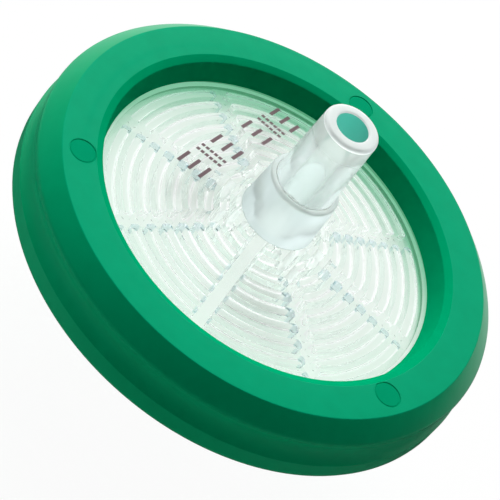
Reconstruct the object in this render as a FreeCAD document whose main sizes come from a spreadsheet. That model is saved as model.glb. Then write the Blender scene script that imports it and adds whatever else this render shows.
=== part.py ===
"""Syringe filter: a disc filter with a male luer slip outlet (up) and a female luer lock inlet (down).

Millimetres. +Z runs along the luer axis towards the outlet. The origin is the centre of the inlet's mouth,
on which the filter stands. The four pieces are turned about Z, apart from the outlet's eight flow channels,
the inlet's two lugs and the ring's three ejector marks.
"""
import FreeCAD, Part
import os
from types import SimpleNamespace

import Sketcher

# Driving sizes. A "drop" runs down from the ring's upper face and a "rise" up from it.
SIZES = {
    # overmoulded ring, outside
    "ring_height": 5.2,
    "face_radius": 15.65,
    "shoulder_radius": 16.95,
    "shoulder_drop": 1.3,
    "shoulder_chamfer": 0.3,
    "waist_radius": 16.6,
    "waist_drop": 2.2,
    "rim_radius": 17.0,
    "rim_drop": 3.44,
    "base_round": 0.75,
    # overmoulded ring, inside
    "face_inner_radius": 13.25,
    "lip_radius": 12.71,
    "lip_drop": 0.22,
    "mark_radius": 0.93,
    "mark_circle_radius": 14.2,
    "mark_depth": 0.05,
    # both housings
    "weld_land": 1.3,
    "window_radius": 12.29,
    "weld_drop": 2.8,
    "chamber_radius": 12.05,
    # outlet housing, outside
    "window_drop": 1.77,
    "window_cone_rise": 1.55,
    "hub_base_radius": 2.7,
    "hub_top_radius": 2.53,
    "hub_top_rise": 3.44,
    "hub_foot_chamfer": 0.15,
    "hub_top_chamfer": 0.12,
    "nose_length": 5.96,
    "nose_tip_radius": 1.955,
    "nose_tip_chamfer": 0.2,
    "bore_tip_radius": 1.16,
    "bore_foot_radius": 1.04,
    # outlet housing, inner face
    "window_wall": 0.6,
    "first_rib_radius": 2.26,
    "rib_width": 0.66,
    "channel_width": 0.87,
    "channel_start_radius": 1.6,
    "channel_extra_depth": 0.08,
    # membrane
    "membrane_radius": 12.6,
    "membrane_thickness": 0.15,
    "membrane_clearance": 0.1,
    # inlet housing
    "inlet_length": 9.6,
    "inlet_window_inset": 1.45,
    "inlet_cone_fall": 1.4,
    "inlet_wall": 0.7,
    "inlet_hub_base_radius": 3.4,
    "inlet_hub_mouth_radius": 3.3,
    "inlet_foot_round": 0.6,
    "socket_mouth_radius": 2.15,
    "socket_depth": 8.6,
    "passage_radius": 1.0,
    "passage_mouth_radius": 1.1,
    "lug_radius": 3.915,
    "lug_height": 1.1,
    "lug_slope": 0.3,
}
LUER_TAPER = 0.03        # change of radius per length: the 6 % luer cone
RIB_COUNT = 9
CHANNEL_COUNT = 8
MARK_COUNT = 3
LUG_COUNT = 2
LUG_ANGLE = 64.0         # degrees of the inlet's mouth that one lug takes
SAME_PLACE = 1e-4         # how close an edge lies to a named radius and height to count as that edge


class Length:
    """A length of the model: its formula on the sheet, and its value, from which a sketch starts."""

    def __init__(self, formula, value):
        self.formula = formula
        self.value = value

    def __add__(self, other):
        return self.joined("+", other, self.value + number(other))

    def __sub__(self, other):
        return self.joined("-", other, self.value - number(other))

    def __mul__(self, other):
        return self.joined("*", other, self.value * number(other))

    def __truediv__(self, other):
        return self.joined("/", other, self.value / number(other))

    def joined(self, sign, other, value):
        return Length(f"({self.formula} {sign} {formula(other)})", value)


def number(length):
    return length.value if isinstance(length, Length) else float(length)


def formula(length):
    return length.formula if isinstance(length, Length) else repr(length)


# ---------------------------------------------------------------- sheet and levels

def write_sheet(doc):
    """Put the driving sizes on a sheet and return them as lengths, by name."""
    sheet = doc.addObject("Spreadsheet::Sheet", "Sizes")
    for row, (name, value) in enumerate(SIZES.items(), start=1):
        sheet.set(f"A{row}", name)
        sheet.set(f"B{row}", str(value))
        sheet.setAlias(f"B{row}", name)
    doc.recompute()
    return SimpleNamespace(**{name: Length(f"Sizes.{name}", value) for name, value in SIZES.items()})


def add_levels(s):
    """Add the heights and radii that several pieces share."""
    s.base = s.inlet_length
    s.top = s.base + s.ring_height
    s.weld = s.top - s.weld_drop
    s.seat = s.weld - s.membrane_thickness
    s.outlet_edge = s.top - s.window_drop
    s.inlet_edge = s.base + s.inlet_window_inset
    s.hub_top = s.top + s.hub_top_rise
    s.tip = s.hub_top + s.nose_length
    s.seat_radius = s.membrane_radius + s.membrane_clearance
    s.flange_radius = s.seat_radius + s.weld_land
    s.rib_pitch = (s.chamber_radius - s.first_rib_radius) / RIB_COUNT


def outlet_roof(s, radius):
    """Height of the outlet chamber's conical roof, one wall below the window's outer cone."""
    slope = s.window_cone_rise / (s.window_radius - s.hub_base_radius)
    return s.outlet_edge - s.window_wall + slope * (s.window_radius - radius)


def inlet_floor(s, radius):
    """Height of the inlet chamber's conical floor, one wall above the housing's outer cone."""
    slope = s.inlet_cone_fall / (s.window_radius - s.inlet_hub_base_radius)
    return s.inlet_edge + s.inlet_wall - slope * (s.window_radius - radius)


# ---------------------------------------------------------------- sketches

def new_sketch(body, name, role, lift=None):
    """Start a sketch on one of the body's own origin planes, lifted along Z where asked."""
    plane = next(item for item in body.Origin.OriginFeatures if item.Role == role)
    sketch = body.newObject("Sketcher::SketchObject", name)
    sketch.AttachmentSupport = [(plane, "")]
    sketch.MapMode = "FlatFace"
    if lift is not None:
        sketch.AttachmentOffset = FreeCAD.Placement(FreeCAD.Vector(0, 0, lift.value), FreeCAD.Rotation())
        sketch.setExpression("AttachmentOffset.Base.z", lift.formula)
    return sketch


def bind(sketch, length, *constraint):
    """Add a dimension and drive it from the sheet."""
    index = sketch.addConstraint(Sketcher.Constraint(*constraint, length.value))
    sketch.setExpression(f"Constraints[{index}]", length.formula)


def place(sketch, line, radius, height):
    """Hold a line's first point at a radius from the axis and a height above the mouth."""
    if isinstance(radius, Length):
        bind(sketch, radius, "DistanceX", -1, 1, line, 1)
    else:
        sketch.addConstraint(Sketcher.Constraint("PointOnObject", line, 1, -2))
    if isinstance(height, Length):
        bind(sketch, height, "DistanceY", -1, 1, line, 1)
    else:
        sketch.addConstraint(Sketcher.Constraint("PointOnObject", line, 1, -1))


def draw_loop(sketch, corners):
    """Draw a closed outline through (radius, height) corners. A plain 0 puts a corner on an axis."""
    first = sketch.GeometryCount
    points = [FreeCAD.Vector(number(radius), number(height), 0) for radius, height in corners]
    for start, end in zip(points, points[1:] + points[:1]):
        sketch.addGeometry(Part.LineSegment(start, end), False)
    for index in range(len(corners)):
        before = first + (index - 1) % len(corners)
        sketch.addConstraint(Sketcher.Constraint("Coincident", before, 2, first + index, 1))
    for index, (radius, height) in enumerate(corners):
        place(sketch, first + index, radius, height)


def profile(body, name, *loops):
    """A half section of the body: one sketch of closed outlines on the XZ plane."""
    sketch = new_sketch(body, name, "XZ_Plane")
    for corners in loops:
        draw_loop(sketch, corners)
    return sketch


# ---------------------------------------------------------------- features

def turn(body, kind, name, sketch, angle=360.0):
    """Revolve a half section about Z: kind is Revolution to add, Groove to cut."""
    feature = body.newObject(f"PartDesign::{kind}", name)
    feature.Profile = sketch
    feature.ReferenceAxis = (sketch, ["V_Axis"])
    feature.Angle = angle
    feature.Midplane = angle < 360.0
    sketch.Visibility = False
    body.Document.recompute()
    return feature


def pocket(body, name, sketch, depth, both_ways=False):
    """Cut a sketch into the body, against its normal or half to each side."""
    feature = body.newObject("PartDesign::Pocket", name)
    feature.Profile = sketch
    feature.Midplane = both_ways
    feature.Length = depth.value
    feature.setExpression("Length", depth.formula)
    sketch.Visibility = False
    body.Document.recompute()
    return feature


def repeat(body, name, feature, axis, count):
    """Repeat a feature round Z."""
    pattern = body.newObject("PartDesign::PolarPattern", name)
    pattern.Originals = [feature]
    pattern.Axis = axis
    pattern.Angle = 360.0
    pattern.Occurrences = count
    body.Tip = pattern
    body.Document.recompute()
    return pattern


def circles_at(shape, radius, height):
    """Names of the circular edges about Z with this radius and height."""
    names = []
    for index, edge in enumerate(shape.Edges, start=1):
        curve = edge.Curve
        if not isinstance(curve, Part.Circle):
            continue
        off_radius = abs(curve.Radius - number(radius))
        off_height = abs(curve.Center.z - number(height))
        if max(off_radius, off_height) < SAME_PLACE:
            names.append(f"Edge{index}")
    return names


def soften(body, kind, name, size, *edges):
    """Round (Fillet) or break (Chamfer) the circular edges given as (radius, height)."""
    base = body.Tip
    names = []
    for radius, height in edges:
        names += circles_at(base.Shape, radius, height)
    if len(names) < len(edges):
        raise RuntimeError(f"{body.Label}: an edge of {name} is missing")
    feature = body.newObject(f"PartDesign::{kind}", name)
    feature.Base = (base, names)
    driven = "Radius" if kind == "Fillet" else "Size"
    setattr(feature, driven, size.value)
    feature.setExpression(driven, size.formula)
    body.Document.recompute()


def check_cut(body, before):
    """A cut that missed the body leaves its volume as it was."""
    if body.Tip.Shape.Volume > before - 1e-3:
        raise RuntimeError(f"{body.Label}: {body.Tip.Label} cuts nothing")


# ---------------------------------------------------------------- pieces

def build_ring(doc, s):
    """The soft ring moulded round both flanges."""
    body = doc.addObject("PartDesign::Body", "overmould_ring")
    section = profile(body, "ring_section", [
        (s.face_inner_radius, s.top),
        (s.face_radius, s.top),
        (s.shoulder_radius, s.top - s.shoulder_drop),
        (s.waist_radius, s.top - s.waist_drop),
        (s.rim_radius, s.top - s.rim_drop),
        (s.rim_radius, s.base),
        (s.face_inner_radius, s.base),
        (s.lip_radius, s.base + s.lip_drop),
        (s.window_radius, s.inlet_edge),
        (s.flange_radius, s.inlet_edge),
        (s.flange_radius, s.outlet_edge),
        (s.window_radius, s.outlet_edge),
        (s.lip_radius, s.top - s.lip_drop),
    ])
    turn(body, "Revolution", "ring_solid", section)
    shoulder = (s.shoulder_radius, s.top - s.shoulder_drop)
    soften(body, "Chamfer", "shoulder_break", s.shoulder_chamfer, shoulder)
    soften(body, "Fillet", "base_rounding", s.base_round, (s.rim_radius, s.base))
    cut_marks(body, s)
    return body


def cut_marks(body, s):
    """The shallow round ejector marks in the ring's upper face."""
    before = body.Tip.Shape.Volume
    sketch = new_sketch(body, "ejector_mark", "XY_Plane", s.top)
    centre = FreeCAD.Vector(0, s.mark_circle_radius.value, 0)
    circle = sketch.addGeometry(Part.Circle(centre, FreeCAD.Vector(0, 0, 1), s.mark_radius.value), False)
    sketch.addConstraint(Sketcher.Constraint("PointOnObject", circle, 3, -2))
    bind(sketch, s.mark_circle_radius, "DistanceY", -1, 1, circle, 3)
    bind(sketch, s.mark_radius, "Radius", circle)
    mark = pocket(body, "ejector_mark_cut", sketch, s.mark_depth)
    repeat(body, "ejector_marks", mark, (sketch, ["N_Axis"]), MARK_COUNT)
    check_cut(body, before)


def build_outlet(doc, s):
    """The clear outlet housing: flange, conical window, hub, luer slip nose and rib pattern."""
    body = doc.addObject("PartDesign::Body", "outlet_housing")
    nose_base_radius = s.nose_tip_radius + s.nose_length * LUER_TAPER
    cone_top = s.outlet_edge + s.window_cone_rise
    section = profile(body, "outlet_section", [
        (s.bore_foot_radius, s.weld),
        (s.flange_radius, s.weld),
        (s.flange_radius, s.outlet_edge),
        (s.window_radius, s.outlet_edge),
        (s.hub_base_radius, cone_top),
        (s.hub_top_radius, s.hub_top),
        (nose_base_radius, s.hub_top),
        (s.nose_tip_radius, s.tip),
        (s.bore_tip_radius, s.tip),
    ])
    turn(body, "Revolution", "outlet_solid", section)
    soften(body, "Chamfer", "hub_foot_flare", s.hub_foot_chamfer, (s.hub_base_radius, cone_top))
    soften(body, "Chamfer", "hub_top_break", s.hub_top_chamfer, (s.hub_top_radius, s.hub_top))
    soften(body, "Chamfer", "nose_tip_break", s.nose_tip_chamfer, (s.nose_tip_radius, s.tip))
    cut_grooves(body, s)
    cut_channels(body, s)
    return body


def cut_grooves(body, s):
    """Cut the ring-shaped grooves that leave the concentric ribs, and the hollow under the bore."""
    before = body.Tip.Shape.Volume
    loops = [[
        (0, s.weld),
        (s.first_rib_radius, s.weld),
        (s.first_rib_radius, outlet_roof(s, s.first_rib_radius)),
        (0, outlet_roof(s, 0)),
    ]]
    for index in range(RIB_COUNT):
        inner = s.first_rib_radius + s.rib_pitch * index + s.rib_width
        outer = s.first_rib_radius + s.rib_pitch * (index + 1)
        loops.append([
            (inner, s.weld),
            (outer, s.weld),
            (outer, outlet_roof(s, outer)),
            (inner, outlet_roof(s, inner)),
        ])
    turn(body, "Groove", "grooves", profile(body, "groove_sections", *loops))
    check_cut(body, before)


def cut_channels(body, s):
    """Cut the radial flow channels through the ribs, each with a roof that follows the window's cone."""
    before = body.Tip.Shape.Volume
    inner = s.channel_start_radius
    outer = s.chamber_radius - (s.rib_pitch - s.rib_width) / 2
    sketch = profile(body, "channel_side", [
        (inner, s.weld),
        (outer, s.weld),
        (outer, outlet_roof(s, outer) + s.channel_extra_depth),
        (inner, outlet_roof(s, inner) + s.channel_extra_depth),
    ])
    channel = pocket(body, "channel", sketch, s.channel_width, both_ways=True)
    repeat(body, "channels", channel, (sketch, ["V_Axis"]), CHANNEL_COUNT)
    check_cut(body, before)


def build_membrane(doc, s):
    """The filter disc clamped between the housings."""
    body = doc.addObject("PartDesign::Body", "membrane")
    section = profile(body, "membrane_section", [
        (0, s.seat),
        (s.membrane_radius, s.seat),
        (s.membrane_radius, s.weld),
        (0, s.weld),
    ])
    turn(body, "Revolution", "membrane_solid", section)
    return body


def build_inlet(doc, s):
    """The clear inlet housing: flange, conical plate, membrane seat, chamber and luer lock hub."""
    body = doc.addObject("PartDesign::Body", "inlet_housing")
    cone_foot = s.inlet_edge - s.inlet_cone_fall
    socket_end_radius = s.socket_mouth_radius - s.socket_depth * LUER_TAPER
    section = profile(body, "inlet_section", [
        (s.socket_mouth_radius, 0),
        (s.inlet_hub_mouth_radius, 0),
        (s.inlet_hub_base_radius, cone_foot),
        (s.window_radius, s.inlet_edge),
        (s.flange_radius, s.inlet_edge),
        (s.flange_radius, s.weld),
        (s.seat_radius, s.weld),
        (s.seat_radius, s.seat),
        (s.chamber_radius, s.seat),
        (s.chamber_radius, inlet_floor(s, s.chamber_radius)),
        (s.passage_mouth_radius, inlet_floor(s, s.passage_mouth_radius)),
        (s.passage_radius, s.socket_depth),
        (socket_end_radius, s.socket_depth),
    ])
    turn(body, "Revolution", "inlet_solid", section)
    foot = (s.inlet_hub_base_radius, cone_foot)
    soften(body, "Fillet", "inlet_foot_rounding", s.inlet_foot_round, foot)
    add_lugs(body, s)
    return body


def add_lugs(body, s):
    """The two lugs that a luer lock collar grips."""
    root = (s.socket_mouth_radius + s.inlet_hub_mouth_radius) / 2
    sketch = profile(body, "lug_section", [
        (root, 0),
        (s.lug_radius, 0),
        (s.lug_radius, s.lug_height - s.lug_slope),
        (root, s.lug_height),
    ])
    lug = turn(body, "Revolution", "lug", sketch, LUG_ANGLE)
    repeat(body, "lugs", lug, (sketch, ["V_Axis"]), LUG_COUNT)


# ---------------------------------------------------------------- document

def check(doc, bodies):
    """Stop at a feature that failed, or a piece that is not one closed solid."""
    for item in doc.Objects:
        if "Invalid" in item.State or "Error" in item.State:
            raise RuntimeError(f"{item.Label} did not compute")
    for body in bodies:
        if not body.Shape.isValid() or len(body.Shape.Solids) != 1:
            raise RuntimeError(f"{body.Label} is not one valid solid")


def main():
    doc = FreeCAD.newDocument("SyringeFilter")
    s = write_sheet(doc)
    add_levels(s)
    bodies = [
        build_inlet(doc, s),
        build_outlet(doc, s),
        build_membrane(doc, s),
        build_ring(doc, s),
    ]
    for body in bodies:
        body.Placement = FreeCAD.Placement()
    doc.recompute()
    check(doc, bodies)
    os.makedirs("parts", exist_ok=True)
    for body in bodies:
        body.Shape.exportStep(f"parts/{body.Label}.step")


main()
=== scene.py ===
"""Looks of the syringe filter: clear shells over a white membrane, and a green soft ring.

Lengths are in millimetres in the part's frame (+Z up the luer axis, origin at the inlet's mouth),
unless a name or a comment says otherwise. The shells are polar grids: closed loops of vertices,
joined by bands of faces.
"""

import math

import bmesh
import bpy
from mathutils import Matrix, Vector


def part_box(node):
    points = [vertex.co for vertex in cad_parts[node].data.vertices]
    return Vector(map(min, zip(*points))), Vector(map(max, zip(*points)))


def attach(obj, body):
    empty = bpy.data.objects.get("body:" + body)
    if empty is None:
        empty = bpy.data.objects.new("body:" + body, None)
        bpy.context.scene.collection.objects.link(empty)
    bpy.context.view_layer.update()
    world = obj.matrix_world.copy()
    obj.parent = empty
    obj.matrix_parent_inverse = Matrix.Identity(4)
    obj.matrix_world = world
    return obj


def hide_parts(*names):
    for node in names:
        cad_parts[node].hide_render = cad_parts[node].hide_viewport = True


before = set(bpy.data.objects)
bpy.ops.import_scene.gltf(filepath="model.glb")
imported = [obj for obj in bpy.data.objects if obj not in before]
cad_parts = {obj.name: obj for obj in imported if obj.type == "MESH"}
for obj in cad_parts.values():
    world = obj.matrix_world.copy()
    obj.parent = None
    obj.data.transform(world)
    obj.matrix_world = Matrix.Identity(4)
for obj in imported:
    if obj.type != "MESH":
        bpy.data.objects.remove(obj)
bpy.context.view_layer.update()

MM = 0.001


def box_mm(node):
    """Lowest and highest corner of a CAD node, in millimetres."""
    low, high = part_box(node)
    return low / MM, high / MM


# Levels and radii from the frame
RING_LOW, RING_HIGH = box_mm("overmould_ring")
OUTLET_LOW, OUTLET_HIGH = box_mm("outlet_housing")
MEMBRANE_BASE = box_mm("membrane")[0].z
TOP = RING_HIGH.z           # ring's upper face
BASE = RING_LOW.z           # ring's lower face
RIM = RING_HIGH.x           # widest radius
WELD = OUTLET_LOW.z         # where the housings meet
TIP = OUTLET_HIGH.z         # end of the nose
FLANGE = OUTLET_HIGH.x      # flange radius of both housings

# The ring's section; a drop is measured down from its upper face
FACE_RADIUS = 15.65
FACE_INNER_RADIUS = 13.25
SHOULDER_RADIUS = 16.95
SHOULDER_DROP = 1.3
WAIST_DEPTH = 0.4
WAIST_BEND = 0.8            # under 1, the waist's curve is steeper at its ends
WAIST_POINTS = 7
RIM_DROP = 3.44
STEP_DEPTH = 0.03           # the parting step: how far it stands out, and half its height
STEP_SLOPE = 0.02
LIP_RADIUS = 12.71
LIP_DROP = 0.22
BASE_ROUND = 0.75
SHOULDER_ROUND = 0.4
FACE_ROUND = 0.12
INNER_ROUND = 0.1           # at the face's inner edge and the lips

# Ejector marks in the ring's face
MARK_COUNT = 3
MARK_START = 0.25           # place of the first mark, as a share of a turn from +X
MARK_RADIUS = 0.97
MARK_CIRCLE_RADIUS = 14.2
MARK_DEPTH = 0.05
MARK_STEPS = ((0.0, 0.0), (0.03, 1.0), (0.09, 1.0), (0.13, 0.4))    # inset from rim, share of depth
MARK_SIDES = 48
MARK_REACH = 8              # mesh columns of the patch on each side of a mark

# Outlet housing
WINDOW_RADIUS = 12.29
WINDOW_DROP = 1.77
WINDOW_CONE_RISE = 1.55
WINDOW_WALL = 0.6
HUB_BASE_RADIUS = 2.7
HUB_BASE_ROUND = 0.06
HUB_TOP_RADIUS = 2.53
HUB_TOP_ROUND = 0.25
HUB_TOP = TOP + 3.44
NOSE_TIP_RADIUS = 1.955
NOSE_TIP_ROUND = 0.3
NOSE_FOOT_ROUND = 0.12
NOSE_END = 0.35             # this much of the nose has the end's look
LUER_TAPER = 0.03
BORE_TIP_RADIUS = 1.16
BORE_TIP_ROUND = 0.12
BORE_FOOT_RADIUS = 1.04
CHAMBER_RADIUS = 12.05

# Ribs on the window's inner face, and the channels through them
RIB_COUNT = 9
FIRST_RIB_RADIUS = 2.26
RIB_WIDTH = 0.66
RIB_ROUND = 0.22            # rounding of a rib's end, seen from above
RIB_FOOT_SHARE = 0.45       # width of a rib's foot, as a share of its width at the roof
RIB_EDGE_HEIGHT = 0.018     # a rib narrows below this height above the membrane
PLAIN_RIB_ENDS = 4.6        # inside this radius a rib's end gets the paler painted shadow
RIB_CELLS = 18              # mesh columns between two channels
CHANNEL_COUNT = 8
CHANNEL_WIDTH = 0.87
CHANNEL_START = 1.6         # inner end of the channels
CHANNEL_CELLS = 6           # mesh columns across a channel

# Inlet housing
INLET_CONE_FALL = 1.4
INLET_WALL = 0.7
INLET_HUB_RADIUS = 3.4
INLET_HUB_ROUND = 0.6
INLET_MOUTH_RADIUS = 3.3
SOCKET_RADIUS = 2.15
SOCKET_DEPTH = 8.6
SOCKET_ROUND = 0.2
SEAT_RADIUS = 12.7
PASSAGE_RADIUS = 1.0
PASSAGE_MOUTH_RADIUS = 1.1
LUG_COUNT = 2
LUG_RADIUS = 3.915
LUG_HEIGHT = 1.1
LUG_SLOPE = 0.3
LUG_ROOT_RADIUS = 3.312     # radius of the hub at the lugs' upper end
LUG_ANGLE = 64.0            # degrees
LUG_SIDE_ANGLE = 0.05       # degrees between the two mesh columns of a lug's side
LUG_STEPS = 12
GAP_STEPS = 48
NO_LUG = 0.001              # what stands out between the lugs, so that no two corners fall together

# Printed marks
PRINT_START = Vector((-7.4, -1.0))      # first corner of the printed line, in plan
PRINT_LINE = Vector((0.27, 0.963))      # direction of the printed line
PRINT_SLANT = math.radians(11.0)        # direction of a bar from +Y towards +X
PRINT_CELLS = 7
PRINT_PAUSE = 3             # this cell stays bare
PRINT_PITCH = 1.75
PRINT_HEIGHT = 1.8          # from the first bar or dot of a cell to its last
PRINT_BARS = 3
PRINT_BAR = 1.3             # length of a bar
PRINT_STROKE = 0.26         # width of a bar, and both sides of a dot
PRINT_DOTS = 6
PRINT_DOT_ROWS = (0.25, 0.85)           # where a cell's two rows of dots start
INK_STEP = 0.15             # mesh length along a bar, which lets it follow the cone
INK_GAP = 0.003             # between the window and the ink
INK_THICKNESS = 0.01

# Where pieces touch
SKIN = 0.01                 # how far pieces that touch through plastic sink into each other
OUTLET_EDGE = TOP - WINDOW_DROP
OUTLET_FOOT = WELD - SKIN   # ribs and flange stand in the membrane's face
INLET_EDGE = BASE + 1.45
INLET_TOP = WELD - 2 * SKIN

# Mesh
LATHE_STEPS = 192           # columns round a turned piece
ROUND_STEPS = 5             # faces along a rounded corner
SHARP_ANGLE = math.radians(35.0)
CLOSE = 0.01                # two levels or radii this close count as one


# ---------------------------------------------------------------- small helpers


def new_object(name, data):
    """An object in the scene round a mesh, a lamp or a camera."""
    obj = bpy.data.objects.new(name, data)
    bpy.context.scene.collection.objects.link(obj)
    return obj


def rounded(corners):
    """A (radius, height) outline in which a corner with a third number is rounded by that radius."""
    out = []
    count = len(corners)
    for index, corner in enumerate(corners):
        if len(corner) == 2:
            out.append(corner)
            continue
        radius = corner[2]
        here = Vector(corner[:2])
        back = (Vector(corners[index - 1][:2]) - here).normalized()
        ahead = (Vector(corners[(index + 1) % count][:2]) - here).normalized()
        half = math.acos(max(-1.0, min(1.0, back.dot(ahead)))) / 2
        reach = radius / math.tan(half)
        centre = here + (back + ahead).normalized() * (radius / math.sin(half))
        first = here + back * reach - centre
        last = here + ahead * reach - centre
        sweep = first.angle_signed(last)
        for step in range(ROUND_STEPS + 1):
            turn = Matrix.Rotation(-sweep * step / ROUND_STEPS, 2)
            point = centre + turn @ first
            out.append((point.x, point.y))
    return out


def full_turn(steps):
    """Angles evenly spaced round a circle."""
    return [2 * math.pi * step / steps for step in range(steps)]


def loop_at(bm, angles, radius, height):
    """Vertices round Z, one at each angle."""
    return [bm.verts.new((radius * math.cos(angle), radius * math.sin(angle), height)) for angle in angles]


def join_loops(bm, low, high, look=0):
    """A band of faces between two loops of the same length."""
    count = len(low)
    for step in range(count):
        ahead = (step + 1) % count
        face = bm.faces.new([low[step], low[ahead], high[ahead], high[step]])
        face.material_index = look


def finish_mesh(name, bm, looks):
    """Turn a bmesh in millimetres into a smooth shaded object in metres with these materials."""
    bmesh.ops.recalc_face_normals(bm, faces=bm.faces)
    bmesh.ops.scale(bm, vec=(MM, MM, MM), verts=bm.verts)
    for edge in bm.edges:
        if len(edge.link_faces) == 2:
            edge.smooth = edge.calc_face_angle(0.0) < SHARP_ANGLE
    for face in bm.faces:
        face.smooth = True
    mesh = bpy.data.meshes.new(name)
    bm.to_mesh(mesh)
    bm.free()
    for look in looks:
        mesh.materials.append(look)
    return new_object(name, mesh)


# ---------------------------------------------------------------- shader helpers

PLASTIC_IOR = 1.5
CLEAR_PASS = (0.99, 1.0, 0.995)     # light left after one clear surface
GREEN_PASS = (0.5, 0.8, 0.66)       # and after one green surface, for the lamp only


def new_material(name):
    material = bpy.data.materials.new(name)
    material.use_nodes = True
    nodes = material.node_tree.nodes
    nodes.clear()
    output = nodes.new("ShaderNodeOutputMaterial")
    return material, nodes, material.node_tree.links, output


def add_bump(nodes, links, shader, scale, strength, distance):
    """Fine noise relief in object space; gives back the noise."""
    coords = nodes.new("ShaderNodeTexCoord")
    noise = nodes.new("ShaderNodeTexNoise")
    noise.inputs["Scale"].default_value = scale
    noise.inputs["Detail"].default_value = 4.0
    bump = nodes.new("ShaderNodeBump")
    bump.inputs["Strength"].default_value = strength
    bump.inputs["Distance"].default_value = distance
    links.new(coords.outputs["Object"], noise.inputs["Vector"])
    links.new(noise.outputs["Fac"], bump.inputs["Height"])
    links.new(bump.outputs["Normal"], shader.inputs["Normal"])
    return noise


def blend(nodes, links, first, second, share):
    """Mixes two shaders by a number or by another node's value."""
    mix = nodes.new("ShaderNodeMixShader")
    if isinstance(share, float):
        mix.inputs["Fac"].default_value = share
    else:
        links.new(share, mix.inputs["Fac"])
    links.new(first, mix.inputs[1])
    links.new(second, mix.inputs[2])
    return mix.outputs["Shader"]


def straight_through(nodes, links, surface, colour, kinds):
    """Lets rays of these kinds pass unbent, and tinted, to what lies behind the surface."""
    passed = nodes.new("ShaderNodeBsdfTransparent")
    passed.inputs["Color"].default_value = (*colour, 1.0)
    path = nodes.new("ShaderNodeLightPath")
    for kind in kinds:
        mix = nodes.new("ShaderNodeMixShader")
        links.new(path.outputs[kind], mix.inputs["Fac"])
        links.new(surface, mix.inputs[1])
        links.new(passed.outputs["BSDF"], mix.inputs[2])
        surface = mix.outputs["Shader"]
    return surface


def ramp_value(nodes, links, value, low, high, at_low, at_high):
    """A value that runs smoothly from at_low to at_high while another goes from low to high."""
    spread = nodes.new("ShaderNodeMapRange")
    spread.interpolation_type = "SMOOTHSTEP"
    spread.inputs["From Min"].default_value = low
    spread.inputs["From Max"].default_value = high
    spread.inputs["To Min"].default_value = at_low
    spread.inputs["To Max"].default_value = at_high
    links.new(value, spread.inputs["Value"])
    return spread.outputs["Result"]


def height_fade(nodes, links, low, high, at_low, at_high):
    """A value that runs smoothly from at_low to at_high between two heights on the part."""
    coords = nodes.new("ShaderNodeTexCoord")
    split = nodes.new("ShaderNodeSeparateXYZ")
    links.new(coords.outputs["Object"], split.inputs[0])
    return ramp_value(nodes, links, split.outputs["Z"], low * MM, high * MM, at_low, at_high)


def inner_side(nodes):
    """One where a surface is seen from within the plastic, nothing outside."""
    return nodes.new("ShaderNodeNewGeometry").outputs["Backfacing"]


def share_of(nodes, links, share):
    """A share for a mix: one number, one outside and one inside, or the four numbers of a height_fade."""
    if isinstance(share, float):
        return share
    if len(share) == 4:
        return height_fade(nodes, links, *share)
    return ramp_value(nodes, links, inner_side(nodes), 0.0, 1.0, *share)


def plastic(nodes, tint, roughness):
    """Transparent plastic with the usual surface reflections."""
    shader = nodes.new("ShaderNodeBsdfPrincipled")
    shader.inputs["Base Color"].default_value = (*tint, 1.0)
    shader.inputs["Roughness"].default_value = roughness
    shader.inputs["IOR"].default_value = PLASTIC_IOR
    shader.inputs["Transmission Weight"].default_value = 1.0
    return shader.outputs["BSDF"]


def glass(nodes, tint):
    """Polished clear plastic that reflects and refracts with one tint."""
    shader = nodes.new("ShaderNodeBsdfGlass")
    shader.inputs["Color"].default_value = (*tint, 1.0)
    shader.inputs["Roughness"].default_value = 0.0
    shader.inputs["IOR"].default_value = PLASTIC_IOR
    return shader.outputs["BSDF"]


def milk(nodes, links, colour, back_share):
    """Cloudiness that is lit from its front and, by back_share, from behind."""
    front = nodes.new("ShaderNodeBsdfDiffuse")
    back = nodes.new("ShaderNodeBsdfTranslucent")
    front.inputs["Color"].default_value = (*colour, 1.0)
    back.inputs["Color"].default_value = (*colour, 1.0)
    return blend(nodes, links, front.outputs["BSDF"], back.outputs["BSDF"], back_share)


def finish_clear(nodes, links, surface, output):
    """Light for what lies below passes a clear surface unbent."""
    surface = straight_through(nodes, links, surface, CLEAR_PASS, ("Is Diffuse Ray", "Is Shadow Ray"))
    links.new(surface, output.inputs["Surface"])


# ---------------------------------------------------------------- materials

RING_GLOSS = 0.12
RING_ROUGHNESS = 0.32
RING_MIRROR_TINT = (0.0, 1.0, 0.5, 1.0)
RING_GREENS = (0.302, 0.35)         # the noise runs between these two colours
RING_BLUES = (0.124, 0.148)
BORE_CLEAR_DEPTH = 3.0              # the bore's painted teal fades out between these depths under the tip
BORE_TEAL_DEPTH = 2.0


def ring_material(name, gloss=RING_GLOSS, depth=1.0, blue=1.0):
    """Soft green plastic, made lighter or deeper by depth and bluer by blue."""
    material, nodes, links, output = new_material(name)
    shader = nodes.new("ShaderNodeBsdfPrincipled")
    shader.inputs["Roughness"].default_value = RING_ROUGHNESS
    shader.inputs["Specular IOR Level"].default_value = gloss
    shader.inputs["Specular Tint"].default_value = RING_MIRROR_TINT
    noise = add_bump(nodes, links, shader, scale=900.0, strength=0.04, distance=0.0002)
    ramp = nodes.new("ShaderNodeValToRGB")
    for element, green, teal in zip(ramp.color_ramp.elements, RING_GREENS, RING_BLUES):
        element.color = (0.0, green * depth, teal * depth * blue, 1.0)
    links.new(noise.outputs["Fac"], ramp.inputs["Fac"])
    links.new(ramp.outputs["Color"], shader.inputs["Base Color"])
    surface = straight_through(nodes, links, shader.outputs["BSDF"], GREEN_PASS, ("Is Shadow Ray",))
    links.new(surface, output.inputs["Surface"])
    return material


def clear_material(name, tint):
    """Smooth moulded plastic without any cloudiness."""
    material, nodes, links, output = new_material(name)
    finish_clear(nodes, links, plastic(nodes, tint, 0.0), output)
    return material


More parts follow.
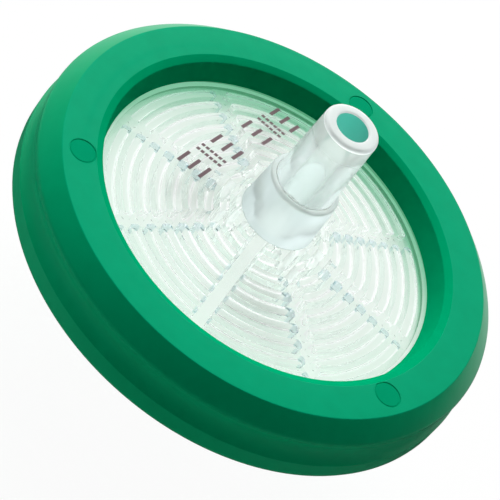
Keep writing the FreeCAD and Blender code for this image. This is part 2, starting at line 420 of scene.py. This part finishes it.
def milky_material(name, tint, roughness, colour, haze, back_share):
    """Natural moulded plastic: cloudy by the share haze, and clear by the rest."""
    material, nodes, links, output = new_material(name)
    cloud = milk(nodes, links, colour, share_of(nodes, links, back_share))
    haze = share_of(nodes, links, haze)
    finish_clear(nodes, links, blend(nodes, links, plastic(nodes, tint, roughness), cloud, haze), output)
    return material


def bore_material():
    """Clear from within the plastic; from its mouth the bore is painted teal, standing in for the ring's
    green seen through it.
    """
    material, nodes, links, output = new_material("clear_plastic_bore_painted_teal")
    clear = plastic(nodes, (0.97, 1.0, 0.99), 0.1)
    # teal is painted: the ring's green as seen through the bore
    teal = blend(nodes, links, plastic(nodes, (0.03, 0.4, 0.3), 0.3),
                 milk(nodes, links, (0.04, 0.36, 0.28), 0.75), 0.6)
    depth = height_fade(nodes, links, TIP - BORE_CLEAR_DEPTH, TIP - BORE_TEAL_DEPTH, 0.0, 1.0)
    mouth = blend(nodes, links, clear, teal, depth)
    finish_clear(nodes, links, blend(nodes, links, mouth, clear, inner_side(nodes)), output)
    return material


def rib_end_shade_material(name, tint):
    """Clear plastic whose inner side, which mirrors the view down a rib's end, is tinted: painted shadow
    that the rib's end casts by refraction.
    """
    material, nodes, links, output = new_material(name)
    surface = blend(nodes, links, glass(nodes, CLEAR_PASS), glass(nodes, tint), inner_side(nodes))
    finish_clear(nodes, links, surface, output)
    return material


def matt_material(name, colour, roughness, bump=0.0):
    """Opaque and nearly without gloss."""
    material, nodes, links, output = new_material(name)
    shader = nodes.new("ShaderNodeBsdfPrincipled")
    shader.inputs["Base Color"].default_value = (*colour, 1.0)
    shader.inputs["Roughness"].default_value = roughness
    shader.inputs["Specular IOR Level"].default_value = 0.15
    if bump > 0.0:
        add_bump(nodes, links, shader, scale=4000.0, strength=bump, distance=0.0001)
    links.new(shader.outputs["BSDF"], output.inputs["Surface"])
    return material


CLEAR = clear_material("clear_plastic_smooth", (0.985, 1.0, 0.993))
FROSTED = milky_material("clear_plastic_nose", tint=(0.94, 0.96, 0.95), roughness=0.12,
                         colour=(0.77, 0.845, 0.82), haze=(TIP - 3.0, TIP, 0.2, 0.38), back_share=0.72)
BORE = bore_material()
MILKY = milky_material("clear_plastic_nose_end", tint=(0.95, 0.97, 1.0), roughness=0.25,
                       colour=(0.97, 1.0, 1.0), haze=0.8, back_share=(TIP - 0.3, TIP - 0.05, 0.75, 0.35))
HUB = milky_material("clear_plastic_hub", tint=(0.92, 0.98, 0.98), roughness=0.24,
                     colour=(0.70, 0.775, 0.785), haze=(0.62, 0.85), back_share=0.82)
# paler milk on the hub's rounded top edge is painted light that lifts the grey of its shading
SHOULDER_LIGHT = milky_material("clear_plastic_shoulder_painted_light", tint=(0.96, 1.0, 1.0), roughness=0.24,
                          colour=(0.84, 0.92, 0.91), haze=0.55, back_share=0.55)
# a white cloudy strip at each rib's foot: painted highlight for the light its rounded edge catches
EDGE_HIGHLIGHT = milky_material("clear_plastic_edge_painted_highlight", tint=(1.0, 1.0, 1.0), roughness=0.0,
                      colour=(1.0, 1.0, 1.0), haze=0.9, back_share=0.0)
# the weld face is milky, and its green is painted light from the ring seen through the weld
WELD_GREEN = milky_material("clear_plastic_weld_painted_green", tint=(0.95, 1.0, 0.97), roughness=0.2,
                        colour=(0.78, 0.93, 0.85), haze=0.6, back_share=0.3)
# grey-blue on the inner side of the rib ends is painted shadow
RIB_END_SHADE = rib_end_shade_material("clear_plastic_rib_end_painted_shade", (0.78, 0.87, 0.90))
# milky grey on the rib ends near the hub is a paler painted shadow
PALE_END_SHADE = milky_material("clear_plastic_inner_rib_end_painted_shade", tint=(1.0, 1.0, 1.0), roughness=0.0,
                          colour=(0.8, 0.84, 0.83), haze=0.5, back_share=0.75)
# the grey-green tint on the roof between ribs is painted shade
GROOVE_SHADE = clear_material("clear_plastic_groove_painted_shade", (0.86, 0.94, 0.9))
GREEN = ring_material("green_soft_plastic")
GREEN_FACE = ring_material("green_soft_plastic_face", blue=1.14)
GREEN_WALL = ring_material("green_soft_plastic_wall", gloss=0.0)
# the ejector marks' darker green is painted shade in their shallow recess
GREEN_MARK_SHADE = ring_material("green_soft_plastic_mark_painted_shade", gloss=0.02, depth=0.89, blue=1.1)
WHITE = matt_material("white_membrane", (0.82, 0.875, 0.835), 0.9)
INK = matt_material("grey_brown_ink", (0.16, 0.11, 0.12), 0.6, bump=0.05)

RING_LOOKS = (GREEN_FACE, GREEN, GREEN_WALL, GREEN_MARK_SHADE)
OUTLET_LOOKS = (CLEAR, FROSTED, MILKY, HUB, SHOULDER_LIGHT, BORE, EDGE_HIGHLIGHT, WELD_GREEN, RIB_END_SHADE, PALE_END_SHADE, GROOVE_SHADE)


# ---------------------------------------------------------------- overmoulded ring

RING_BAND = 0.02            # the face's look reaches this far round its edges


def ring_zone(low, high):
    """Look of the band between two points of the ring's outline."""
    if (low[0] + high[0]) / 2 < FACE_INNER_RADIUS - RING_BAND:
        return RING_LOOKS.index(GREEN_WALL)
    on_face = (low[1] + high[1]) / 2 > TOP - RING_BAND
    return RING_LOOKS.index(GREEN_FACE if on_face else GREEN)


def waist_points():
    """Shallow hollow between the shoulder and the parting step."""
    shoulder, step = TOP - SHOULDER_DROP, TOP - RIM_DROP
    points = []
    for index in range(1, WAIST_POINTS + 1):
        share = index / (WAIST_POINTS + 1)
        straight = SHOULDER_RADIUS + (RIM - SHOULDER_RADIUS) * share
        hollow = WAIST_DEPTH * math.sin(math.pi * share) ** WAIST_BEND
        points.append((straight - hollow, shoulder + (step - shoulder) * share))
    return points


def ring_outline():
    """The ring's section: flat face, sloped shoulder, waist, parting step and rounded base."""
    return rounded([
        (FACE_INNER_RADIUS, TOP, INNER_ROUND),
        (FACE_RADIUS, TOP, FACE_ROUND),
        (SHOULDER_RADIUS, TOP - SHOULDER_DROP, SHOULDER_ROUND),
        *waist_points(),
        (RIM - STEP_DEPTH, TOP - RIM_DROP + STEP_SLOPE),
        (RIM, TOP - RIM_DROP - STEP_SLOPE),
        (RIM, BASE, BASE_ROUND),
        (FACE_INNER_RADIUS, BASE, INNER_ROUND),
        (LIP_RADIUS, BASE + LIP_DROP, INNER_ROUND),
        (WINDOW_RADIUS, INLET_EDGE + SKIN),
        (FLANGE - SKIN, INLET_EDGE + SKIN),
        (FLANGE - SKIN, OUTLET_EDGE - SKIN),
        (WINDOW_RADIUS, OUTLET_EDGE - SKIN),
        (LIP_RADIUS, TOP - LIP_DROP, INNER_ROUND),
    ])


def circle_of(bm, centre, radius, height):
    """A closed loop of vertices about a mark's centre."""
    ring = []
    for angle in full_turn(MARK_SIDES):
        place = centre + Vector((math.cos(angle), math.sin(angle))) * radius
        ring.append(bm.verts.new((place.x, place.y, height)))
    return ring


def path_edges(bm, path):
    """The edges along an open path of vertices, made where they are missing."""
    return [bm.edges.get(pair) or bm.edges.new(pair) for pair in zip(path, path[1:])]


def add_ejector_mark(bm, angle):
    """A shallow round dimple in the ring's face; gives back its mouth."""
    centre = Vector((math.cos(angle), math.sin(angle))) * MARK_CIRCLE_RADIUS
    loops = [circle_of(bm, centre, MARK_RADIUS - inset, TOP - MARK_DEPTH * share)
             for inset, share in MARK_STEPS]
    # the dimple takes the darker green: painted shade
    look = RING_LOOKS.index(GREEN_MARK_SHADE)
    for low, high in zip(loops, loops[1:]):
        join_loops(bm, low, high, look)
    bm.faces.new(loops[-1]).material_index = look
    return loops[0]


def fill_face(bm, inner, outer):
    """The ring's flat face: plain quads, and round each ejector mark a patch with the mark as its hole."""
    steps = len(inner)
    patched = set()
    for mark in range(MARK_COUNT):
        middle = round(steps * (MARK_START + mark / MARK_COUNT))
        columns = [(middle + offset) % steps for offset in range(-MARK_REACH, MARK_REACH + 1)]
        patched.update(columns[:-1])
        mouth = add_ejector_mark(bm, 2 * math.pi * middle / steps)
        outline = [inner[column] for column in columns] + [outer[column] for column in reversed(columns)]
        edges = path_edges(bm, outline + outline[:1]) + path_edges(bm, mouth + mouth[:1])
        bmesh.ops.triangle_fill(bm, use_beauty=True, edges=edges, normal=(0.0, 0.0, 1.0))
    for step in range(steps):
        if step not in patched:
            ahead = (step + 1) % steps
            bm.faces.new([inner[step], inner[ahead], outer[ahead], outer[step]])


def build_ring():
    """Turned ring whose flat face, from the end of the first rounding, has three ejector marks."""
    bm = bmesh.new()
    outline = ring_outline()
    loops = [loop_at(bm, full_turn(LATHE_STEPS), radius, height) for radius, height in outline]
    for index, loop in enumerate(loops):
        ahead = (index + 1) % len(loops)
        if index != ROUND_STEPS:
            join_loops(bm, loop, loops[ahead], ring_zone(outline[index], outline[ahead]))
    fill_face(bm, loops[ROUND_STEPS], loops[ROUND_STEPS + 1])
    ring = finish_mesh("ring_skin", bm, RING_LOOKS)
    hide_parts("overmould_ring")
    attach(ring, "root")


# ---------------------------------------------------------------- clear shells


def roof(radius):
    """Height of the outlet chamber's roof at a radius."""
    slope = WINDOW_CONE_RISE / (WINDOW_RADIUS - HUB_BASE_RADIUS)
    return OUTLET_EDGE - WINDOW_WALL + slope * (WINDOW_RADIUS - radius)


def floor_height(radius):
    """Height of the inlet chamber's floor at a radius."""
    slope = INLET_CONE_FALL / (WINDOW_RADIUS - INLET_HUB_RADIUS)
    return INLET_EDGE + INLET_WALL - slope * (WINDOW_RADIUS - radius)


def column_angles(radius, inset=0.0):
    """Angles of the outlet's mesh columns: RIB_CELLS between two channels, then a channel's own."""
    half = math.asin((CHANNEL_WIDTH / 2 + inset) / max(radius, CHANNEL_START))
    sector = 2 * math.pi / CHANNEL_COUNT
    angles = []
    for channel in range(CHANNEL_COUNT):
        start = channel * sector + half
        for cell in range(RIB_CELLS):
            angles.append(start + (sector - 2 * half) * cell / RIB_CELLS)
        for cell in range(CHANNEL_CELLS):
            angles.append(start + sector - 2 * half + 2 * half * cell / CHANNEL_CELLS)
    return angles


def column_ring(bm, radius, height, inset=0.0):
    """One loop of the outlet's polar grid."""
    return loop_at(bm, column_angles(min(radius, CHAMBER_RADIUS), inset), radius, height)


def rib_stations():
    """Radii of the grid from the chamber's wall inwards.

    Each comes with the inset of the rib's rounded end, whether the rib goes on inwards, and the
    rib's middle.
    """
    pitch = (CHAMBER_RADIUS - FIRST_RIB_RADIUS) / RIB_COUNT
    turns = [math.radians(angle) for angle in (0, 30, 60, 90)]
    stations = [(CHAMBER_RADIUS, 0.0, False, CHAMBER_RADIUS)]
    for index in reversed(range(RIB_COUNT)):
        inner = FIRST_RIB_RADIUS + pitch * index
        outer = inner + RIB_WIDTH
        middle = inner + RIB_WIDTH / 2
        for turn in turns:
            radius = outer - RIB_ROUND * (1 - math.cos(turn))
            stations.append((radius, RIB_ROUND * (1 - math.sin(turn)), True, middle))
        for turn in reversed(turns):
            radius = inner + RIB_ROUND * (1 - math.cos(turn))
            stations.append((radius, RIB_ROUND * (1 - math.sin(turn)), True, middle))
        stations[-1] = (inner, RIB_ROUND, False, middle)
    stations.append((CHANNEL_START, 0.0, False, CHANNEL_START))
    return stations


def outlet_outline():
    """Section of the outlet housing from the bore's foot over the nose to the chamber's roof."""
    nose_base = NOSE_TIP_RADIUS + LUER_TAPER * (TIP - HUB_TOP)
    return rounded([
        (BORE_FOOT_RADIUS, roof(BORE_FOOT_RADIUS)),
        (BORE_TIP_RADIUS, TIP, BORE_TIP_ROUND),
        (NOSE_TIP_RADIUS, TIP, NOSE_TIP_ROUND),
        (nose_base, HUB_TOP, NOSE_FOOT_ROUND),
        (HUB_TOP_RADIUS, HUB_TOP, HUB_TOP_ROUND),
        (HUB_BASE_RADIUS, OUTLET_EDGE + WINDOW_CONE_RISE, HUB_BASE_ROUND),
        (WINDOW_RADIUS, OUTLET_EDGE),
        (FLANGE, OUTLET_EDGE),
        (FLANGE, OUTLET_FOOT),
        (CHAMBER_RADIUS, OUTLET_FOOT),
        (CHAMBER_RADIUS, roof(CHAMBER_RADIUS)),
    ])


def outlet_zone(low, high):
    """Look of the band between two points of the outlet's outline."""
    radius = (low[0] + high[0]) / 2
    middle = (low[1] + high[1]) / 2
    if radius < BORE_TIP_RADIUS + CLOSE:
        look = BORE
    elif middle > TIP - NOSE_END:
        look = MILKY
    elif middle > HUB_TOP + CLOSE:
        look = FROSTED
    elif middle > HUB_TOP - HUB_TOP_ROUND:
        # the hub's rounded top edge takes the painted light
        look = SHOULDER_LIGHT
    elif middle > OUTLET_EDGE + WINDOW_CONE_RISE:
        look = HUB
    elif middle < OUTLET_FOOT + CLOSE:
        # the flange's foot takes the milky weld with painted green
        look = WELD_GREEN
    else:
        look = CLEAR
    return OUTLET_LOOKS.index(look)


def add_wall(bm, levels, looks):
    """Faces down a rib's wall between two neighbouring grid points, one look for each step down."""
    for high, low, look in zip(levels, levels[1:], looks):
        face = bm.faces.new([high[0], high[1], low[1], low[0]])
        face.material_index = OUTLET_LOOKS.index(look)


def build_rib_bands(bm, top_ring, bore_ring):
    """The chamber's roof with its ribs and channels, from the chamber's wall to the bore.

    The grid has three levels: 0 on the roof, 1 just above the membrane, and 2 at a rib's narrower foot.
    """
    stations = rib_stations()
    grid = [(top_ring, None, None)]
    for radius, inset, _, middle in stations[1:]:
        foot = middle + (radius - middle) * RIB_FOOT_SHARE
        grid.append((column_ring(bm, radius, roof(radius), inset),
                     column_ring(bm, radius, WELD + RIB_EDGE_HEIGHT, inset),
                     column_ring(bm, foot, OUTLET_FOOT, inset)))
    bands = len(stations) - 1
    count = len(top_ring)

    def in_channel(column):
        return column % (RIB_CELLS + CHANNEL_CELLS) >= RIB_CELLS

    def solid(band, column):
        return 0 <= band < bands and stations[band][2] and not in_channel(column)

    for band in range(bands):
        # the rib ends take a painted shadow, paler near the hub
        end_look = RIB_END_SHADE if stations[band][0] > PLAIN_RIB_ENDS else PALE_END_SHADE
        for column in range(count):
            ahead = (column + 1) % count
            filled = solid(band, column)
            level = 2 if filled else 0
            here, inner = grid[band][level], grid[band + 1][level]
            face = bm.faces.new([here[column], here[ahead], inner[ahead], inner[column]])
            if filled:
                continue
            if not in_channel(column):
                # the roof between ribs takes the painted shade
                face.material_index = OUTLET_LOOKS.index(GROOVE_SHADE)
            for near, station in ((band - 1, band), (band + 1, band + 1)):
                if solid(near, column):
                    levels = [(loop[column], loop[ahead]) for loop in grid[station]]
                    # the strip at a rib's foot takes the painted highlight
                    add_wall(bm, levels, (CLEAR, EDGE_HIGHLIGHT))
            for side, neighbour in ((column, (column - 1) % count), (ahead, ahead)):
                if solid(band, neighbour):
                    levels = [(outer[side], inner[side])
                              for outer, inner in zip(grid[band], grid[band + 1])]
                    add_wall(bm, levels, (end_look, end_look))
    join_loops(bm, grid[bands][0], bore_ring)


def build_outlet():
    """Outlet housing with its rib pattern, as one closed mesh on a polar grid."""
    bm = bmesh.new()
    outline = outlet_outline()
    rings = [column_ring(bm, radius, height) for radius, height in outline]
    for index in range(len(rings) - 1):
        join_loops(bm, rings[index], rings[index + 1], outlet_zone(outline[index], outline[index + 1]))
    build_rib_bands(bm, rings[-1], rings[0])
    loose = [vert for vert in bm.verts if not vert.link_faces]
    bmesh.ops.delete(bm, geom=loose, context="VERTS")
    outlet = finish_mesh("outlet_shell", bm, OUTLET_LOOKS)
    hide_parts("outlet_housing")
    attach(outlet, "root")


def inlet_outline(on_lug):
    """Section of the inlet housing, through a lug or beside it, with the same number of points."""
    out = LUG_RADIUS if on_lug else INLET_MOUTH_RADIUS + NO_LUG
    seat = MEMBRANE_BASE - SKIN
    return rounded([
        (SOCKET_RADIUS, 0.0, SOCKET_ROUND),
        (INLET_MOUTH_RADIUS, 0.0),
        (out, 0.0),
        (out, LUG_HEIGHT - LUG_SLOPE),
        (LUG_ROOT_RADIUS, LUG_HEIGHT),
        (INLET_HUB_RADIUS, INLET_EDGE - INLET_CONE_FALL, INLET_HUB_ROUND),
        (WINDOW_RADIUS, INLET_EDGE),
        (FLANGE, INLET_EDGE),
        (FLANGE, INLET_TOP),
        (SEAT_RADIUS, INLET_TOP),
        (SEAT_RADIUS, seat),
        (CHAMBER_RADIUS, seat),
        (CHAMBER_RADIUS, floor_height(CHAMBER_RADIUS)),
        (PASSAGE_MOUTH_RADIUS, floor_height(PASSAGE_MOUTH_RADIUS)),
        (PASSAGE_RADIUS, SOCKET_DEPTH),
        (SOCKET_RADIUS - SOCKET_DEPTH * LUER_TAPER, SOCKET_DEPTH),
    ])


def inlet_columns():
    """Angles round the inlet, each with whether it lies on a lug; a lug's side is two close columns."""
    half = math.radians(LUG_ANGLE / 2)
    sliver = math.radians(LUG_SIDE_ANGLE)
    columns = []
    for lug in range(LUG_COUNT):
        middle = math.pi * 2 * lug / LUG_COUNT
        for step in range(LUG_STEPS + 1):
            columns.append((middle - half + 2 * half * step / LUG_STEPS, True))
        gap = 2 * math.pi / LUG_COUNT - 2 * half - 2 * sliver
        for step in range(GAP_STEPS + 1):
            columns.append((middle + half + sliver + gap * step / GAP_STEPS, False))
    return columns


def build_inlet():
    """Inlet housing: plate, chamber, hub with its socket, and two lugs."""
    bm = bmesh.new()
    columns = inlet_columns()
    rings = []
    for beside, on_lug in zip(inlet_outline(False), inlet_outline(True)):
        ring = []
        for angle, through_lug in columns:
            radius, height = on_lug if through_lug else beside
            ring += loop_at(bm, [angle], radius, height)
        rings.append(ring)
    for low, high in zip(rings, rings[1:] + rings[:1]):
        join_loops(bm, low, high)
    inlet = finish_mesh("inlet_shell", bm, (CLEAR,))
    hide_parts("inlet_housing")
    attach(inlet, "root")


# ---------------------------------------------------------------- membrane and printed marks


def dress_membrane():
    """The membrane is the CAD node itself, in matt white."""
    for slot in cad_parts["membrane"].material_slots:
        slot.material = WHITE


def window_height(radius):
    """Height of the window's outer face at a radius."""
    return roof(radius) + WINDOW_WALL


def add_stroke(bm, start, along, across, width):
    """A thin inked bar on the window's cone from a point along a vector."""
    steps = max(1, round(along.length / INK_STEP))
    side = across * (width / 2)
    rows = []
    for step in range(steps + 1):
        middle = start + along * (step / steps)
        row = []
        for lift in (INK_GAP, INK_GAP + INK_THICKNESS):
            for sign in (-1, 1):
                spot = middle + side * sign
                row.append(bm.verts.new((spot.x, spot.y, window_height(spot.length) + lift)))
        rows.append([row[0], row[1], row[3], row[2]])
    for here, ahead in zip(rows, rows[1:]):
        join_loops(bm, here, ahead)
    bm.faces.new(rows[0])
    bm.faces.new(rows[-1])


def build_print():
    """Generic bars and dots where such a filter carries its printed rating."""
    along = Vector((math.sin(PRINT_SLANT), math.cos(PRINT_SLANT)))
    across = Vector((along.y, -along.x))
    bm = bmesh.new()
    for cell in range(PRINT_CELLS):
        if cell == PRINT_PAUSE:
            continue
        corner = PRINT_START + PRINT_LINE * (cell * PRINT_PITCH)
        if cell % 2 == 0:
            for row in range(PRINT_BARS):
                start = corner + across * (PRINT_HEIGHT * row / (PRINT_BARS - 1))
                add_stroke(bm, start, along * PRINT_BAR, across, PRINT_STROKE)
            continue
        for column in PRINT_DOT_ROWS:
            for row in range(PRINT_DOTS):
                start = corner + along * column + across * (PRINT_HEIGHT * row / (PRINT_DOTS - 1))
                add_stroke(bm, start, along * PRINT_STROKE, across, PRINT_STROKE)
    marks = finish_mesh("print_marks", bm, (INK,))
    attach(marks, "root")


# ---------------------------------------------------------------- stage, light and camera

LAMP_AZIMUTH = 20.0         # degrees from +Y towards -X
LAMP_SIDE = 50.0            # degrees from straight up to where the sky is brightest
FLOOR_HALF = 3000.0
FLOOR_WHITE = (0.9, 0.9, 0.9, 1.0)
FLOOR_GLOW = 0.95           # share of plain white where the floor is seen; the rest keeps a soft shadow

# Ramps: from, to, strength at the first, strength at the second
SOFT_SKY = (-0.3, 1.0, 0.06, 0.42)          # the sky as light, from away from the lamp to towards it
MIRRORED_SKY = (0.55, 0.95, 0.05, 1.0)      # the sky in reflections, the same way
MIRRORED_FLOOR = (0.005, 0.03, 0.05, 1.0)   # the floor in reflections, in metres towards the back

CAMERA_TURN = math.radians(-2.0)            # the channels stand 2 degrees round from the view
CAMERA_OFFSET = Vector((0.0, -123.2, 106.5))
CAMERA_RIGHT = Vector((0.7658, 0.4297, 0.4786))
CAMERA_UP = Vector((-0.6432, 0.5116, 0.5698))
CAMERA_LENS = 180.0
CAMERA_SENSOR = 36.0
CAMERA_RANGE = (0.01, 100.0)                # metres


def light_direction(from_zenith, azimuth=LAMP_AZIMUTH):
    """Direction this many degrees from straight up, towards an azimuth."""
    tilt = math.radians(from_zenith)
    turn = math.radians(azimuth)
    return Vector((-math.sin(turn) * math.sin(tilt), math.cos(turn) * math.sin(tilt), math.cos(tilt)))


def along_direction(nodes, links, space, direction):
    """How far a point, or a direction of the sky, lies along a direction."""
    coords = nodes.new("ShaderNodeTexCoord")
    along = nodes.new("ShaderNodeVectorMath")
    along.operation = "DOT_PRODUCT"
    along.inputs[1].default_value = direction
    links.new(coords.outputs[space], along.inputs[0])
    return along.outputs["Value"]


def studio_mix(nodes, links, soft, mirrored, seen, seen_share=1.0):
    """One look for light, one for reflections, and last the one seen directly or through plastic.

    A refracted ray counts as glossy too, so the look that is seen has to come last.
    """
    path = nodes.new("ShaderNodeLightPath")
    either = nodes.new("ShaderNodeMath")
    either.operation = "MAXIMUM"
    links.new(path.outputs["Is Camera Ray"], either.inputs[0])
    links.new(path.outputs["Is Transmission Ray"], either.inputs[1])
    share = nodes.new("ShaderNodeMath")
    share.operation = "MULTIPLY"
    share.inputs[1].default_value = seen_share
    links.new(either.outputs[0], share.inputs[0])
    surface = blend(nodes, links, soft, mirrored, path.outputs["Is Glossy Ray"])
    return blend(nodes, links, surface, seen, share.outputs[0])


def build_stage():
    """A plain pale floor that reads white and keeps a soft shadow; reflections see only its back lit."""
    bm = bmesh.new()
    bmesh.ops.create_grid(bm, x_segments=2, y_segments=2, size=FLOOR_HALF)
    material, nodes, links, output = new_material("floor_white")
    lit = nodes.new("ShaderNodeBsdfDiffuse")
    lit.inputs["Color"].default_value = FLOOR_WHITE
    glow = nodes.new("ShaderNodeEmission")
    mirrored = nodes.new("ShaderNodeEmission")
    depth = along_direction(nodes, links, "Object", Vector((0.0, 1.0, 0.0)))
    links.new(ramp_value(nodes, links, depth, *MIRRORED_FLOOR), mirrored.inputs["Strength"])
    surface = studio_mix(nodes, links, lit.outputs["BSDF"], mirrored.outputs["Emission"],
                         glow.outputs["Emission"], FLOOR_GLOW)
    links.new(surface, output.inputs["Surface"])
    floor = finish_mesh("floor", bm, (material,))


def build_world():
    """White where it is seen; a soft sky that lights the part, and a sharper one in reflections."""
    world = bpy.data.worlds.new("studio")
    bpy.context.scene.world = world
    world.use_nodes = True
    nodes = world.node_tree.nodes
    links = world.node_tree.links
    nodes.clear()
    output = nodes.new("ShaderNodeOutputWorld")
    soft, mirrored, seen = (nodes.new("ShaderNodeBackground") for _ in range(3))
    for sky in (soft, mirrored, seen):
        sky.inputs["Color"].default_value = (1.0, 1.0, 1.0, 1.0)
    lamp_side = along_direction(nodes, links, "Generated", light_direction(LAMP_SIDE))
    links.new(ramp_value(nodes, links, lamp_side, *SOFT_SKY), soft.inputs["Strength"])
    links.new(ramp_value(nodes, links, lamp_side, *MIRRORED_SKY), mirrored.inputs["Strength"])
    surface = studio_mix(nodes, links, soft.outputs["Background"], mirrored.outputs["Background"],
                         seen.outputs["Background"])
    links.new(surface, output.inputs["Surface"])


def build_camera():
    """A long lens that looks at the ring's upper face, turned about the view as in the photo."""
    turn = Matrix.Rotation(CAMERA_TURN, 3, "Z")
    right = (turn @ CAMERA_RIGHT).normalized()
    back = right.cross(turn @ CAMERA_UP).normalized()
    up = back.cross(right)
    place = turn @ CAMERA_OFFSET + Vector((0.0, 0.0, TOP))
    data = bpy.data.cameras.new("camera")
    data.lens = CAMERA_LENS
    data.sensor_width = CAMERA_SENSOR
    data.clip_start, data.clip_end = CAMERA_RANGE
    camera = new_object("camera", data)
    camera.matrix_world = Matrix.Translation(place * MM) @ Matrix((right, up, back)).transposed().to_4x4()
    bpy.context.scene.camera = camera


def add_lamp(name, direction, distance, size, power):
    """A square soft lamp that looks at the middle of the part; its distance and size are in metres."""
    data = bpy.data.lights.new(name, "AREA")
    data.shape = "SQUARE"
    data.size = size
    data.energy = power
    lamp = new_object(name, data)
    lamp.location = Vector((0.0, 0.0, TOP * MM)) + direction * distance
    lamp.rotation_euler = direction.to_track_quat("Z", "Y").to_euler()
    lamp.visible_glossy = False
    lamp.visible_transmission = False


def build_lights():
    """One soft lamp from above and behind, and a weak low one from the left."""
    add_lamp("key", light_direction(48.0), distance=0.5, size=0.3, power=3.125)
    add_lamp("fill", light_direction(86.0, azimuth=80.0), distance=2.0, size=1.2, power=18.0)


build_ring()
build_outlet()
build_inlet()
build_print()
dress_membrane()
build_stage()
build_world()
build_camera()
build_lights()

scene = bpy.context.scene
scene.view_settings.view_transform = "Standard"
